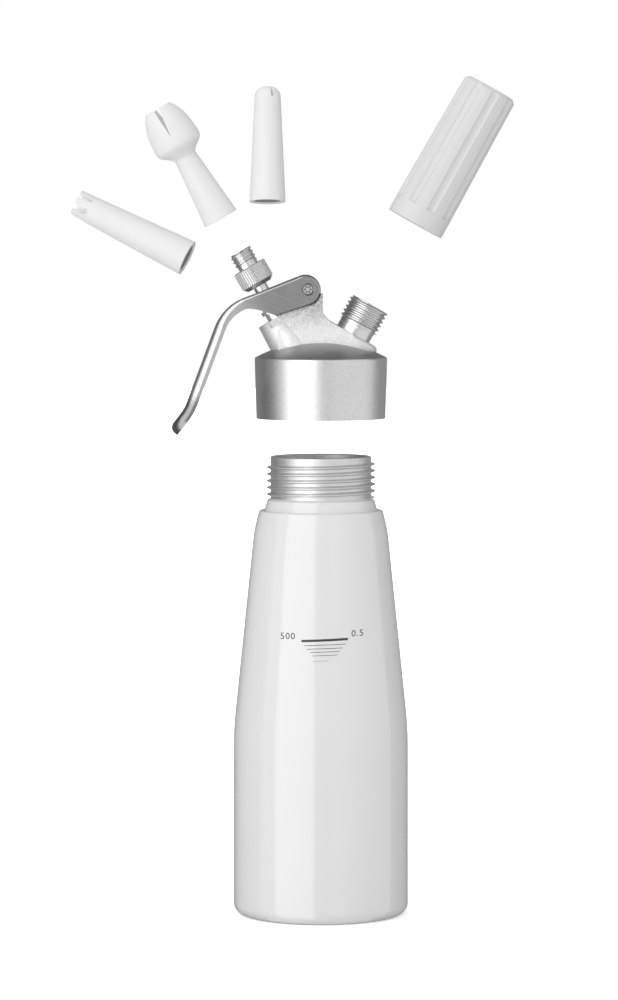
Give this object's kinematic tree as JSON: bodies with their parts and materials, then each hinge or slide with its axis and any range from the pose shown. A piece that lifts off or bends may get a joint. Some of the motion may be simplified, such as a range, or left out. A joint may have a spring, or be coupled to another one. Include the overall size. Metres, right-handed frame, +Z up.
{
  "type": "whipped cream dispenser",
  "caption": "Whipped cream dispenser taken apart: tapered white bottle with a threaded neck, cast head with lever, valve and charger port, charger holder and decorating tips.",
  "frame": {"origin": "centre of the bottle's base, on the surface it stands on", "axes": "+Z up along the bottle, -X towards the lever, +X towards the charger port, -Y towards the viewer"},
  "size_m": [0.1969, 0.078, 0.3739],
  "materials": {
    "enamel": "gloss",
    "cast_aluminium": "bead blasted",
    "machined_steel": "turned",
    "needle_steel": "polished",
    "lever_steel": "satin",
    "pin_steel": "polished",
    "adapter_metal": "satin plated",
    "spring_steel": "drawn wire",
    "rubber_seal": "matte",
    "valve_plastic": "satin",
    "holder_plastic": "satin",
    "tip_plastic": "matte"
  },
  "bodies": {
    "bottle": {"bottle": "enamel"},
    "head": {"head": "cast_aluminium", "head_gasket": "rubber_seal", "charger_port": "machined_steel", "port_gasket": "rubber_seal", "piercing_pin": "needle_steel", "piercer_seal": "rubber_seal", "check_valve": "rubber_seal", "valve_bush": "valve_plastic", "stem_oring": "rubber_seal"},
    "lever": {"lever": "lever_steel", "lever_pin": "pin_steel", "pin_washer": "pin_steel"},
    "valve": {"valve_stem": "machined_steel", "valve_seal": "rubber_seal", "valve_nut": "machined_steel", "stem_collar": "machined_steel", "tip_adapter": "adapter_metal", "adapter_oring": "rubber_seal", "valve_spring": "spring_steel"},
    "holder": {"charger_holder": "holder_plastic"},
    "tulip": {"tulip_tip": "tip_plastic"},
    "crown": {"crown_tip": "tip_plastic"},
    "dome": {"dome_tip": "tip_plastic"}
  },
  "joints": [
    {"name": "head_lift", "type": "slide", "parent": "bottle", "child": "head", "axis": [0, 0, 1], "range_m": [-0.0406, 0]},
    {"name": "lever_press", "type": "hinge", "parent": "head", "child": "lever", "pos_m": [-0.0058, 0, 0.2795], "axis": [0, -1, 0], "range_deg": [0, 7], "stiffness_Nm_per_rad": 2, "springref_deg": -5.73},
    {"name": "valve_press", "type": "slide", "parent": "head", "child": "valve", "axis": [0.5, 0, -0.866], "range_m": [0, 0.00225], "deforming": ["valve_spring"]},
    {"name": "holder_lift", "type": "slide", "parent": "head", "child": "holder", "axis": [0.4894, 0, 0.8721], "range_m": [-0.0535, 0]},
    {"name": "tulip_lift", "type": "slide", "parent": "valve", "child": "tulip", "axis": [-0.5, 0, 0.866], "range_m": [-0.0244, 0]},
    {"name": "crown_turn", "type": "hinge", "parent": "head", "child": "crown", "pos_m": [-0.0594, 0, 0.2933], "axis": [-0.887, 0.1392, 0.4403], "continuous": true},
    {"name": "dome_turn", "type": "hinge", "parent": "head", "child": "dome", "pos_m": [-0.0237, 0, 0.3183], "axis": [0, 0.1392, 0.9903], "continuous": true}
  ],
  "couplings": [
    {"joint": "valve_press", "follows": "lever_press", "m_per_rad": 0.018356}
  ]
}
